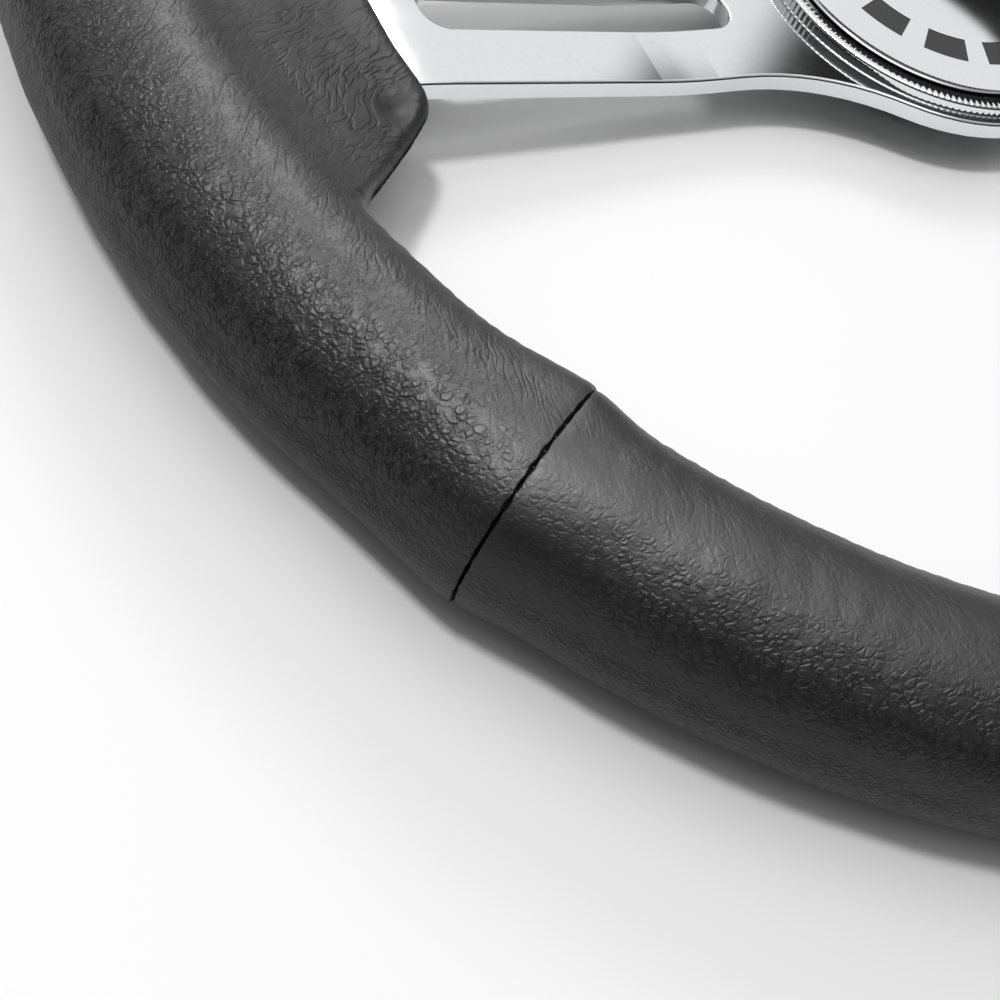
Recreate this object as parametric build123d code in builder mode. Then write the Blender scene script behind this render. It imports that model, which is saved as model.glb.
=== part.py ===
"""Car steering wheel: a bent three-spoke plate, a leather-wrapped rim and a sprung horn button.

Millimetres.  The origin is the centre of the hub's back face, +Z points at the
driver and +Y is twelve o'clock.  The rim's back is the lowest part of the wheel.
"""
from build123d import *
import os
from math import cos, hypot, radians, sin, sqrt, tan

os.makedirs("parts", exist_ok=True)

# Rim and its covering
wheel_diameter = 380.0
grip_width = 32.0
grip_depth = 35.0
rim_height = 8.0
leather_thickness = 1.4
glue_thickness = 0.1
seam_angle = 34.7

# Spoke grips, where the leather runs from the rim onto a spoke
grip_end_radius = 130.0
grip_end_width = 52.0
grip_end_thickness = 9.0
grip_flare_angle = 44.0
grip_undercut_angle = 28.0
grip_blend_angle = 58.0
grip_blend_bite = 0.3
grip_corner_radius = 4.5
grip_upper_edge_radius = 2.4
grip_lower_edge_radius = 3.2

# Spoke plate, with spokes at three, nine and six o'clock
plate_thickness = 3.5
hub_diameter = 80.5
hub_bore_diameter = 57.0
spoke_angles = (0, 180, 270)
spoke_width = 40.6
spoke_rise = 5.4
bend_distance = 71.0
level_distance = 128.0
bend_radius = 140.0
upper_web_radius = 55.0
lower_web_radius = 24.0
plate_edge_radius = 0.6
wall_tilt = 0.1
corner_tolerance = 0.1

# Slots in the spokes, set a little towards twelve o'clock in the two side ones
slot_width = 11.0
slot_inner_distance = 53.0
slot_outer_radius = 120.5
slot_corner_radius = 5.0
slot_offset = 1.2

# Bolt circle to the steering boss
bolt_circle_diameter = 70.0
bolt_count = 6
bolt_hole_diameter = 5.5

# Flat steel hoop in the rim, and the rivets that hold the spokes to it
hoop_width = 14.0
hoop_thickness = 5.0
tongue_margin = 3.0
rivet_diameter = 4.4
rivet_head_diameter = 8.0
rivet_head_height = 1.6
rivet_spacing = 20.0

# Horn body, a flanged cup through the hub, and the wire ring that keeps it there
cup_clearance = 0.3
cup_wall = 2.0
cup_depth = 7.5
flange_thickness = 1.0
snap_wire_diameter = 1.6
snap_clearance = 0.1
snap_gap_angle = 30.0

# Horn bezel and button
bezel_diameter = 77.0
bezel_width = 3.5
bezel_height = 2.7
bezel_rebate = 1.6
bezel_edge_radius = 0.7
horn_travel = 1.5
running_clearance = 0.3
button_clearance = 0.4
button_rim_height = 1.1
button_dome_height = 3.6
button_wall = 1.6
button_land = 3.6
button_boss_diameter = 10.0
button_rib_diameter = 33.0
button_rib_width = 1.6

# Ring of dark bars let into the button
inlay_count = 12
inlay_diameter = 51.5
inlay_width = 5.5
inlay_angle = 20.0
inlay_depth = 0.7
inlay_recess = 0.1

# Switch inside the horn
plunger_height = 1.8
plunger_thickness = 1.2
plunger_clearance = 0.6
contact_thickness = 0.8
contact_diameter = 38.0
contact_ring_width = 6.0
contact_ring_split = 3.0
spring_diameter = 18.0
spring_wire_diameter = 1.2
spring_turns = 3.5
centre_screw_diameter = 3.0
centre_screw_bite = 3.0
centre_screw_head_diameter = 6.0
centre_screw_head_height = 1.0
stud_count = 3
stud_start_angle = 90.0
stud_inset = 4.7
stud_diameter = 3.0
stud_bite = 4.5
stud_head_diameter = 5.2
stud_head_height = 1.6
stud_boss_diameter = 6.0
stud_boss_height = 3.0
blade_width = 6.3
blade_length = 14.0
blade_thickness = 0.8
blade_hole_diameter = 1.6
contact_rivet_diameter = 2.0

# Sizes that follow from those above
rim_radius = (wheel_diameter - grip_width) / 2
rim_bottom = rim_height - grip_depth / 2
rim_top = rim_height + grip_depth / 2
tongue_top = spoke_rise + plate_thickness
grip_middle = spoke_rise + plate_thickness / 2
hub_radius = hub_diameter / 2
hoop_outer_radius = rim_radius + hoop_width / 2
hoop_base = spoke_rise - hoop_thickness
tongue_end = hoop_outer_radius - tongue_margin
cup_radius = hub_bore_diameter / 2 - cup_clearance
cup_inner_radius = cup_radius - cup_wall
cup_floor = cup_wall - cup_depth
stud_circle_diameter = 2 * (cup_inner_radius - stud_inset)
snap_radius = snap_wire_diameter / 2
bezel_radius = bezel_diameter / 2
bezel_inner_radius = bezel_radius - bezel_width
flange_radius = bezel_inner_radius + bezel_rebate
flange_top = plate_thickness + flange_thickness
bezel_top = plate_thickness + bezel_height
button_radius = bezel_inner_radius - button_clearance
button_base = flange_top + horn_travel + running_clearance
button_shoulder = button_base + button_rim_height
button_top = button_shoulder + button_dome_height
dome_radius = (button_radius**2 + button_dome_height**2) / (2 * button_dome_height)
plunger_top = plunger_height + plunger_thickness
contact_disc_base = plunger_height - contact_thickness
contact_ring_top = contact_disc_base - horn_travel - running_clearance
pedestal_top = contact_ring_top - contact_thickness
contact_radius = contact_diameter / 2
contact_ring_middle = contact_radius - contact_ring_width / 2
inlay_inner_radius = (inlay_diameter - inlay_width) / 2
inlay_outer_radius = (inlay_diameter + inlay_width) / 2


def turned(angle):
    """A turn about the wheel's axis, from the three o'clock spoke to another angle."""
    return Location((0, 0, 0), (0, 0, angle))


def direction(angle, length):
    """A point in plan at this angle and distance from the wheel's axis."""
    return (length * cos(radians(angle)), length * sin(radians(angle)))


def from_axis(shape):
    """Distance of a shape's centre from the wheel's axis."""
    return hypot(shape.center().X, shape.center().Y)


def on_hub(shape):
    """Whether a shape's centre lies on the hub's edge."""
    return abs(from_axis(shape) - hub_radius) < corner_tolerance


def dome_height(radius):
    """Height of the button's dome at this distance from the wheel's axis."""
    return button_top - dome_radius + sqrt(dome_radius**2 - radius**2)


def dome_arc(start_radius, end_radius, drop):
    """An arc that follows the button's dome, lowered by drop."""
    middle_radius = (start_radius + end_radius) / 2
    return ThreePointArc(
        *[(radius, dome_height(radius) - drop) for radius in (start_radius, middle_radius, end_radius)]
    )


def spoke_plane(angle):
    """The upright plane along a spoke's middle, with its x outwards and its y up."""
    along = direction(angle, 1)
    return Plane(origin=(0, 0, 0), x_dir=(along[0], along[1], 0), z_dir=(along[1], -along[0], 0))


def padded_rim(inset):
    """The rim with its three spoke grips as one solid, drawn in by inset all over."""
    half_width = grip_width / 2 - inset
    half_depth = grip_depth / 2 - inset
    half_end = grip_end_thickness / 2 - inset
    end_radius = grip_end_radius + inset
    blend = radians(grip_blend_angle)
    blend_radius = rim_radius - (half_width - grip_blend_bite) * cos(blend)
    blend_rise = (half_depth - grip_blend_bite) * sin(blend)
    blend_run = half_width * sin(blend)
    blend_climb = half_depth * cos(blend)
    flare = radians(grip_flare_angle)
    flare_start = sqrt(grip_end_radius**2 - (grip_end_width / 2) ** 2)
    flare_foot = flare_start - grip_end_width / 2
    flare_reach = wheel_diameter / 2
    overhang = (rim_top - grip_middle - grip_end_thickness / 2) * tan(radians(grip_undercut_angle))

    def half_flare(distance):
        side = (overhang - inset) / cos(flare)
        return grip_end_width / 2 + side + (distance - flare_start) * tan(flare)

    def side_edges(side):
        return rim.edges().filter_by(
            lambda edge: side * (edge.center().Z - grip_middle) > half_end / 2
            and from_axis(edge) < blend_radius - half_end / 2
        )

    with BuildPart() as rim:
        # The grips' tapering section, carried right round
        with BuildSketch(Plane.XZ):
            with BuildLine():
                upper_end = (end_radius, grip_middle + half_end)
                lower_end = (end_radius, grip_middle - half_end)
                upper_blend = (blend_radius, rim_height + blend_rise)
                lower_blend = (blend_radius, rim_height - blend_rise)
                Spline(upper_end, upper_blend, tangents=((1, 0), (blend_run, blend_climb)))
                Line(upper_blend, lower_blend)
                Spline(lower_blend, lower_end, tangents=((-blend_run, blend_climb), (-1, 0)))
                Line(lower_end, upper_end)
            make_face()
        revolve(axis=Axis.Z)
        # Kept only at the spokes, where it flares towards the rim and is undercut at its sides
        with BuildSketch(Plane.XY.offset(rim_top)):
            for angle in spoke_angles:
                with Locations(turned(angle)):
                    Polygon(
                        (flare_foot, half_flare(flare_foot)),
                        (flare_foot, -half_flare(flare_foot)),
                        (flare_reach, -half_flare(flare_reach)),
                        (flare_reach, half_flare(flare_reach)),
                        align=None,
                    )
        extrude(amount=-grip_depth, taper=grip_undercut_angle, mode=Mode.INTERSECT)
        corners = rim.edges().filter_by(
            lambda edge: abs(edge.center().Z - grip_middle) < half_end / 2
            and from_axis(edge) < end_radius + half_end
        )
        fillet(corners, grip_corner_radius - inset / 2)
        fillet(side_edges(1), grip_upper_edge_radius - inset)
        fillet(side_edges(-1), grip_lower_edge_radius - inset)
        # The round of the rim itself
        with BuildSketch(Plane.XZ):
            with Locations((rim_radius, rim_height)):
                Ellipse(half_width, half_depth)
        revolve(axis=Axis.Z)
    return rim.part


def sector(start_angle, end_angle):
    """Corners of a wedge in plan that reaches past the rim."""
    reach = 2 * wheel_diameter
    angles = (start_angle, (start_angle + end_angle) / 2, end_angle)
    return [(0, 0)] + [direction(angle, reach) for angle in angles]


def inlay_bars(recess):
    """The ring of bars in the button, from their depth up to recess below the dome."""
    corners = [(radius, dome_height(radius)) for radius in (inlay_inner_radius, inlay_outer_radius)]
    with BuildPart() as bars:
        with BuildSketch(Plane.XZ):
            Polygon(
                (corners[0][0], corners[0][1] - inlay_depth),
                (corners[1][0], corners[1][1] - inlay_depth),
                (corners[1][0], corners[1][1] - recess),
                (corners[0][0], corners[0][1] - recess),
                align=None,
            )
        revolve(axis=Axis.Z)
        with BuildSketch(Plane.XY.offset(button_base)):
            with PolarLocations(0, inlay_count):
                Polygon(*sector(-inlay_angle / 2, inlay_angle / 2), align=None)
        extrude(amount=button_top, mode=Mode.INTERSECT)
    return bars.part


# Spoke plate: flat at the hub, bent up along each spoke, with tongues that lie on the hoop
with BuildPart() as spoke_plate:
    for angle in spoke_angles:
        with BuildSketch(spoke_plane(angle)) as bent_strip:
            Polygon(
                (0, 0),
                (bend_distance, 0),
                (level_distance, spoke_rise),
                (tongue_end, spoke_rise),
                (tongue_end, tongue_top),
                (level_distance, tongue_top),
                (bend_distance, plate_thickness),
                (0, plate_thickness),
                align=None,
            )
            bends = bent_strip.vertices().filter_by(
                lambda corner: hub_radius < from_axis(corner) < level_distance + plate_thickness
            )
            fillet(bends, bend_radius)
        extrude(amount=hub_radius, both=True)
    with BuildSketch() as plate_outline:
        Circle(hub_radius)
        for angle in spoke_angles:
            with Locations(turned(angle)):
                Rectangle(tongue_end, spoke_width, align=(Align.MIN, Align.CENTER))
        webs = plate_outline.vertices().filter_by(on_hub)
        fillet(webs.filter_by(lambda corner: corner.Y > 0), upper_web_radius)
        webs = plate_outline.vertices().filter_by(on_hub)
        fillet(webs.filter_by(lambda corner: corner.Y < 0), lower_web_radius)
    extrude(amount=tongue_top, mode=Mode.INTERSECT)
    with BuildSketch() as slots:
        for angle in spoke_angles:
            with Locations(turned(angle)):
                with Locations((slot_inner_distance, slot_offset * cos(radians(angle)))):
                    Rectangle(slot_outer_radius, slot_width, align=(Align.MIN, Align.CENTER))
        Circle(slot_outer_radius, mode=Mode.INTERSECT)
        fillet(slots.vertices(), slot_corner_radius)
    extrude(amount=tongue_top, mode=Mode.SUBTRACT)
    walls = spoke_plate.faces().filter_by(lambda face: abs(face.normal_at().Z) < wall_tilt)
    driver_side = spoke_plate.faces().filter_by(lambda face: face.normal_at().Z > 1 - wall_tilt)
    fillet(driver_side.edges() & walls.edges(), plate_edge_radius)
    with BuildSketch():
        Circle(hub_bore_diameter / 2)
        with PolarLocations(bolt_circle_diameter / 2, bolt_count, start_angle=180 / bolt_count):
            Circle(bolt_hole_diameter / 2)
        for angle in spoke_angles:
            with Locations(turned(angle)):
                with Locations((rim_radius, rivet_spacing / 2), (rim_radius, -rivet_spacing / 2)):
                    Circle(rivet_diameter / 2)
    extrude(amount=tongue_top, mode=Mode.SUBTRACT)
spoke_plate.part.label = "spoke_plate"
export_step(spoke_plate.part, "parts/spoke_plate.step")

# Hoop: a flat steel ring under the spokes' tongues
with BuildPart() as rim_hoop:
    with BuildSketch(Plane.XY.offset(hoop_base)):
        Circle(hoop_outer_radius)
        Circle(rim_radius - hoop_width / 2, mode=Mode.SUBTRACT)
        for angle in spoke_angles:
            with Locations(turned(angle)):
                with Locations((rim_radius, rivet_spacing / 2), (rim_radius, -rivet_spacing / 2)):
                    Circle(rivet_diameter / 2, mode=Mode.SUBTRACT)
    extrude(amount=hoop_thickness)
rim_hoop.part.label = "rim_hoop"
export_step(rim_hoop.part, "parts/rim_hoop.step")

# Rivets: two at each tongue, headed on both sides
with BuildPart() as spoke_rivets:
    for angle in spoke_angles:
        with Locations(turned(angle)):
            with Locations((rim_radius, rivet_spacing / 2), (rim_radius, -rivet_spacing / 2)):
                with Locations((0, 0, hoop_base)):
                    Cylinder(
                        rivet_diameter / 2,
                        hoop_thickness + plate_thickness,
                        align=(Align.CENTER, Align.CENTER, Align.MIN),
                    )
                with Locations((0, 0, tongue_top), (0, 0, hoop_base - rivet_head_height)):
                    Cylinder(
                        rivet_head_diameter / 2,
                        rivet_head_height,
                        align=(Align.CENTER, Align.CENTER, Align.MIN),
                    )
spoke_rivets.part.label = "spoke_rivets"
export_step(spoke_rivets.part, "parts/spoke_rivets.step")

# Foam: one moulding round the hoop and the tongues, with room for the glue under the leather
with BuildPart() as rim_foam:
    add(padded_rim(leather_thickness + glue_thickness))
    add(rim_hoop.part, mode=Mode.SUBTRACT)
    add(spoke_plate.part, mode=Mode.SUBTRACT)
    add(spoke_rivets.part, mode=Mode.SUBTRACT)
rim_foam.part.label = "rim_foam"
export_step(rim_foam.part, "parts/rim_foam.step")

# Leather: a skin over the foam, sewn up from four panels that meet at cross seams
with BuildPart() as cover:
    add(padded_rim(0))
    add(padded_rim(leather_thickness), mode=Mode.SUBTRACT)
    add(spoke_plate.part, mode=Mode.SUBTRACT)
panels = (
    ("leather_right_grip", -seam_angle, seam_angle),
    ("leather_top", seam_angle, 180 - seam_angle),
    ("leather_left_grip", 180 - seam_angle, 180 + seam_angle),
    ("leather_bottom", 180 + seam_angle, 360 - seam_angle),
)
for panel_name, start_angle, end_angle in panels:
    with BuildPart() as panel:
        add(cover.part)
        with BuildSketch(Plane.XY.offset(rim_bottom)):
            Polygon(*sector(start_angle, end_angle), align=None)
        extrude(amount=grip_depth, mode=Mode.INTERSECT)
    panel.part.label = panel_name
    export_step(panel.part, f"parts/{panel_name}.step")

# Horn body: a plastic cup with a flange on the hub, a contact pedestal and three stud bosses
with BuildPart() as horn_body:
    with BuildSketch(Plane.XZ):
        Polygon(
            (0, -cup_depth),
            (cup_radius, -cup_depth),
            (cup_radius, plate_thickness),
            (flange_radius, plate_thickness),
            (flange_radius, flange_top),
            (cup_inner_radius, flange_top),
            (cup_inner_radius, cup_floor),
            (contact_radius, cup_floor),
            (contact_radius, pedestal_top),
            (contact_radius - contact_ring_width, pedestal_top),
            (contact_radius - contact_ring_width, cup_floor),
            (0, cup_floor),
            align=None,
        )
    revolve(axis=Axis.Z)
    with BuildSketch(Plane.XZ):
        with Locations((cup_radius, -snap_radius - snap_clearance)):
            Circle(snap_radius + snap_clearance)
    revolve(axis=Axis.Z, mode=Mode.SUBTRACT)
    with BuildSketch(Plane.XY.offset(cup_floor)):
        with PolarLocations(stud_circle_diameter / 2, stud_count, start_angle=stud_start_angle):
            Circle(stud_boss_diameter / 2)
    extrude(amount=stud_boss_height)
    with BuildSketch(Plane.XY.offset(cup_floor + stud_boss_height)):
        with PolarLocations(stud_circle_diameter / 2, stud_count, start_angle=stud_start_angle):
            Circle(stud_diameter / 2)
    extrude(amount=-stud_bite, mode=Mode.SUBTRACT)
    with BuildSketch(Plane.XY.offset(-cup_depth)):
        with PolarLocations(contact_ring_middle, 2):
            Circle(contact_rivet_diameter / 2)
    extrude(amount=cup_depth + pedestal_top, mode=Mode.SUBTRACT)
horn_body.part.label = "horn_body"
export_step(horn_body.part, "parts/horn_body.step")

# Snap ring: an open wire ring in the cup's groove, behind the hub
with BuildPart() as snap_ring:
    with BuildSketch(spoke_plane(90 + snap_gap_angle / 2)):
        with Locations((cup_radius, -snap_radius - snap_clearance)):
            Circle(snap_radius)
    revolve(axis=Axis.Z, revolution_arc=360 - snap_gap_angle)
snap_ring.part.label = "snap_ring"
export_step(snap_ring.part, "parts/snap_ring.step")

# Bezel: a ring that stands on the hub and clamps the horn body's flange
with BuildPart() as horn_bezel:
    with BuildSketch(Plane.XZ) as bezel_section:
        Polygon(
            (flange_radius, plate_thickness),
            (bezel_radius, plate_thickness),
            (bezel_radius, bezel_top),
            (bezel_inner_radius, bezel_top),
            (bezel_inner_radius, flange_top),
            (flange_radius, flange_top),
            align=None,
        )
        fillet(bezel_section.vertices().group_by(Axis.Y)[-1], bezel_edge_radius)
    revolve(axis=Axis.Z)
horn_bezel.part.label = "horn_bezel"
export_step(horn_bezel.part, "parts/horn_bezel.step")

# Inlay bars: a ring of dark plugs, just under the dome's surface
with BuildPart() as horn_inlays:
    add(inlay_bars(inlay_recess))
horn_inlays.part.label = "horn_inlays"
export_step(horn_inlays.part, "parts/horn_inlays.step")

# Horn cap: a domed button with a centre boss and a round rib that seat on the plunger
with BuildPart() as horn_cap:
    with BuildSketch(Plane.XZ):
        with BuildLine():
            land_radius = button_radius - button_land
            dome_arc(0, button_radius, 0)
            Line((button_radius, button_shoulder), (button_radius, button_base))
            Line((button_radius, button_base), (land_radius, button_base))
            Line((land_radius, button_base), (land_radius, dome_height(land_radius) - button_wall))
            dome_arc(land_radius, 0, button_wall)
            Line((0, button_top - button_wall), (0, button_top))
        make_face()
    revolve(axis=Axis.Z)
    with BuildSketch(Plane.XY.offset(plunger_top)):
        Circle(button_rib_diameter / 2)
        Circle(button_rib_diameter / 2 - button_rib_width, mode=Mode.SUBTRACT)
        Circle(button_boss_diameter / 2)
    extrude(amount=dome_height(button_rib_diameter / 2) - button_wall / 2 - plunger_top)
    with BuildSketch(Plane.XY.offset(plunger_top)):
        Circle(centre_screw_diameter / 2)
    extrude(amount=centre_screw_bite, mode=Mode.SUBTRACT)
    add(inlay_bars(-button_wall), mode=Mode.SUBTRACT)
horn_cap.part.label = "horn_cap"
export_step(horn_cap.part, "parts/horn_cap.step")

# Plunger: the plastic plate under the cap, guided by the studs
with BuildPart() as horn_plunger:
    with BuildSketch(Plane.XY.offset(plunger_height)):
        Circle(cup_inner_radius - plunger_clearance)
        Circle(centre_screw_diameter / 2, mode=Mode.SUBTRACT)
        with PolarLocations(stud_circle_diameter / 2, stud_count, start_angle=stud_start_angle):
            Circle(stud_diameter / 2 + running_clearance, mode=Mode.SUBTRACT)
    extrude(amount=plunger_thickness)
horn_plunger.part.label = "horn_plunger"
export_step(horn_plunger.part, "parts/horn_plunger.step")

# Contact disc: brass, under the plunger
with BuildPart() as contact_disc:
    with BuildSketch(Plane.XY.offset(contact_disc_base)):
        Circle(contact_radius)
        Circle(centre_screw_diameter / 2, mode=Mode.SUBTRACT)
    extrude(amount=contact_thickness)
contact_disc.part.label = "contact_disc"
export_step(contact_disc.part, "parts/contact_disc.step")

# Centre screw: holds the contact disc and the plunger up against the cap's boss
with BuildPart() as centre_screw:
    with BuildSketch(Plane.XY.offset(contact_disc_base)):
        Circle(centre_screw_diameter / 2)
    extrude(amount=plunger_top + centre_screw_bite - contact_disc_base)
    with BuildSketch(Plane.XY.offset(contact_disc_base)):
        Circle(centre_screw_head_diameter / 2)
    extrude(amount=-centre_screw_head_height)
centre_screw.part.label = "centre_screw"
export_step(centre_screw.part, "parts/centre_screw.step")

# Horn spring: a wire coil from the cup's floor to the contact disc
with BuildPart() as horn_spring:
    coil_height = contact_disc_base - cup_floor - spring_wire_diameter
    coil_base = cup_floor + spring_wire_diameter / 2
    with BuildLine() as coil:
        Helix(
            pitch=coil_height / spring_turns,
            height=coil_height,
            radius=(spring_diameter - spring_wire_diameter) / 2,
            center=(0, 0, coil_base),
        )
    with BuildSketch(coil.line ^ 0):
        Circle(spring_wire_diameter / 2)
    sweep()
horn_spring.part.label = "horn_spring"
export_step(horn_spring.part, "parts/horn_spring.step")

# Retaining studs: screwed into the cup's bosses, their heads stop the plunger
with BuildPart() as retaining_studs:
    stud_foot = cup_floor + stud_boss_height - stud_bite
    stud_shoulder = plunger_top + running_clearance
    with BuildSketch(Plane.XY.offset(stud_foot)):
        with PolarLocations(stud_circle_diameter / 2, stud_count, start_angle=stud_start_angle):
            Circle(stud_diameter / 2)
    extrude(amount=stud_shoulder - stud_foot)
    with BuildSketch(Plane.XY.offset(stud_shoulder)):
        with PolarLocations(stud_circle_diameter / 2, stud_count, start_angle=stud_start_angle):
            Circle(stud_head_diameter / 2)
    extrude(amount=stud_head_height)
retaining_studs.part.label = "retaining_studs"
export_step(retaining_studs.part, "parts/retaining_studs.step")

# Contact ring: brass, in two halves on the cup's pedestal
with BuildPart() as contact_ring:
    with BuildSketch(Plane.XY.offset(pedestal_top)):
        Circle(contact_radius)
        Circle(contact_radius - contact_ring_width, mode=Mode.SUBTRACT)
        Rectangle(contact_ring_split, contact_diameter, mode=Mode.SUBTRACT)
        with PolarLocations(contact_ring_middle, 2):
            Circle(contact_rivet_diameter / 2, mode=Mode.SUBTRACT)
    extrude(amount=contact_thickness)
contact_ring.part.label = "contact_ring"
export_step(contact_ring.part, "parts/contact_ring.step")

# Terminal blades: two brass tabs behind the cup, for push-on connectors
with BuildPart() as terminal_blades:
    with BuildSketch(Plane.XY.offset(-cup_depth - blade_thickness)):
        with PolarLocations(contact_ring_middle, 2):
            with Locations((-blade_width / 2, 0)):
                Rectangle(blade_length, blade_width, align=(Align.MIN, Align.CENTER))
            Circle(contact_rivet_diameter / 2, mode=Mode.SUBTRACT)
            with Locations((blade_length - blade_width, 0)):
                Circle(blade_hole_diameter / 2, mode=Mode.SUBTRACT)
    extrude(amount=blade_thickness)
terminal_blades.part.label = "terminal_blades"
export_step(terminal_blades.part, "parts/terminal_blades.step")

# Contact rivets: join each blade to its half of the ring through the cup's floor
with BuildPart() as contact_rivets:
    with BuildSketch(Plane.XY.offset(-cup_depth - blade_thickness)):
        with PolarLocations(contact_ring_middle, 2):
            Circle(contact_rivet_diameter / 2)
    extrude(amount=cup_depth + blade_thickness + contact_ring_top)
contact_rivets.part.label = "contact_rivets"
export_step(contact_rivets.part, "parts/contact_rivets.step")
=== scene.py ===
from math import cos, pi, radians, sin, sqrt, tan
from typing import NamedTuple

import bpy
import numpy as np
from mathutils import Matrix, Vector


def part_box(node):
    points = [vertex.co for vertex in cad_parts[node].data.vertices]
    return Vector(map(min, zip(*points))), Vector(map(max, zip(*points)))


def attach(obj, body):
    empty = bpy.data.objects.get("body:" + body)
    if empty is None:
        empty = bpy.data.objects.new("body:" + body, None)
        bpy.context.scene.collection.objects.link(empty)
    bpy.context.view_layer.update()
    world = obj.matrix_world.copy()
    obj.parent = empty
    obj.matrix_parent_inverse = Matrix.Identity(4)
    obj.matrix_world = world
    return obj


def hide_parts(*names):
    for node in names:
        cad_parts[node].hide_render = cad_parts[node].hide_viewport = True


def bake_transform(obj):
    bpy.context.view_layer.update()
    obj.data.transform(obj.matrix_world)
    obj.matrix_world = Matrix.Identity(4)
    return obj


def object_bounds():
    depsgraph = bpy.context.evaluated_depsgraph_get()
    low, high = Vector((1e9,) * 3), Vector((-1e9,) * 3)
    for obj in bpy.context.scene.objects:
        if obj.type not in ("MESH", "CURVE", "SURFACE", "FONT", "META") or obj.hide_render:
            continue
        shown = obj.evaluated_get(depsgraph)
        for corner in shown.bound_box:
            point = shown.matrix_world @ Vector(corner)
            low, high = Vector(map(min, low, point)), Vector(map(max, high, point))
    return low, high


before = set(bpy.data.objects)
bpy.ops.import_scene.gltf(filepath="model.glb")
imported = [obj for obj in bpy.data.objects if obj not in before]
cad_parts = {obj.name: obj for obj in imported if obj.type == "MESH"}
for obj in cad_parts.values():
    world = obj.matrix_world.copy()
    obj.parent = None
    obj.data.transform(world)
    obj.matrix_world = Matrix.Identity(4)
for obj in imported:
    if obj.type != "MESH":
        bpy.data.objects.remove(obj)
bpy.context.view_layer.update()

# Car steering wheel lying face up on a pale floor.  Metres; +Z points at the driver and +Y is twelve o'clock.

MM = 0.001
DETAIL = 1.0
FEWEST_POINTS = 24

# Rim, read from the top panel's box in the frame; angles in degrees
rim_low, rim_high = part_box("leather_top")
RIM_OUTER = rim_high[1]
RIM_BOTTOM = rim_low[2]
RIM_TOP = rim_high[2]
RIM_WIDTH = 32 * MM
RIM_RADIUS = RIM_OUTER - RIM_WIDTH / 2
RIM_HEIGHT = (RIM_TOP + RIM_BOTTOM) / 2
HALF_WIDTH = RIM_WIDTH / 2
HALF_DEPTH = (RIM_TOP - RIM_BOTTOM) / 2
INNER_RADIUS = RIM_RADIUS - HALF_WIDTH
SPOKES = (0, 180, 270)
SEAMS = (34.7, 145.3, 214.7, 325.3)
LACED_STRETCHES = ((21, 159), (201, 249), (291, 339))
PROFILE_POINTS = 900

# Thumb grips at the spokes; angles in degrees
GRIP_END_RADIUS = 130 * MM
GRIP_END_HALF_WIDTH = 26 * MM
GRIP_END_HALF_THICKNESS = 4.5 * MM
GRIP_MIDDLE = 7.15 * MM
GRIP_FLARE = 47.0
GRIP_BLEND = 58.0
GRIP_REACH = 40
GRIP_EDGE_RADIUS = 3.2 * MM
GRIP_UNDERCUT = 0.5 * MM
CROOK_UNDERCUT = 12.0 * MM
CROOK_SOFTNESS = 2.0 * MM
CROOK_START = 1 * MM
CROOK_END = 18 * MM
WING_POINTS = 300

# Hollow at each grip's corners, and the folds that bend round it
DENT_ANGLE = 12.0
DENT_RADIUS = 139 * MM
DENT_WIDTH = 3.2 * MM
DENT_DEPTH = 0.9 * MM
FOLD_LEAN = radians(40)
FOLD_TURN = 9.0 * MM
FOLD_ROUNDING = 3 * MM

# Leather away from the seams: depth, wavelength and seed of each layer of slight unevenness
UNEVEN_LAYERS = ((0.05 * MM, 18 * MM, 3), (0.02 * MM, 4 * MM, 4))
UNEVEN_FADE = (2 * MM, 14 * MM)
WAVE_SPREAD = (0.7, 1.4)

# Cross seams: the grid's steps away from one, and the slit and its rolled edges in mm
SEAM_STEPS = np.array((0, 0.07, 0.12, 0.16, 0.2, 0.24, 0.29, 0.34, 0.41, 0.52, 0.7, 0.95, 1.3, 1.7)) * MM
SLIT_DEPTH = 1.15
SLIT_HALF_WIDTH = 0.13
SLIT_BITE = 0.08
SLIT_RAGGED = 0.04
SLIT_WAVE = 3 * MM
SLIT_SEED = 8
ROLL_DEPTH = 0.10
ROLL_WIDTH = 0.9
SWELL_OUTSIDE = (0.2, 1.0)
SWELL_INSIDE = (0.1, 0.6)

# Stitches of the cross seams; the margin beside them in degrees
STITCH_PITCH = 2.8 * MM
STITCH_RADIUS = 0.2 * MM
STITCH_HALF_LENGTH = 0.6 * MM
STITCH_STEPS = np.array((-1.0, -0.55, 0, 0.55, 1.0))
STITCH_DEPTH = 1.0 * MM
STITCH_BOW = 0.1 * MM
STITCH_DIVE = 0.3 * MM
STITCH_MARGIN = 0.2
STITCH_HALF_COUNT = 400

# Lacing of the rim's inner side: its groove, the puckers beside it and its threads
GROOVE_DEPTH = 0.9 * MM
GROOVE_WIDTH = 0.8 * MM
GROOVE_FADE = 6 * MM
PUCKER_DEPTH = 0.17 * MM
PUCKER_LENGTH = 2.3 * MM
PUCKER_STRETCH = (1.0, 3.0)
PUCKER_SEED = 6
PUCKER_LEAN = 160
PUCKER_SPREAD = 24
LACE_PITCH = 5.0 * MM
LACE_RADIUS = 0.45 * MM
LACE_POINTS = 9
LACE_SLANT = 0.32
LACE_HALF_HEIGHT = 1.9 * MM
LACE_BOW = 0.28 * MM
LACE_DIVE = 0.5 * MM
LACE_CROSSING = 0.12 * MM

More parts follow.
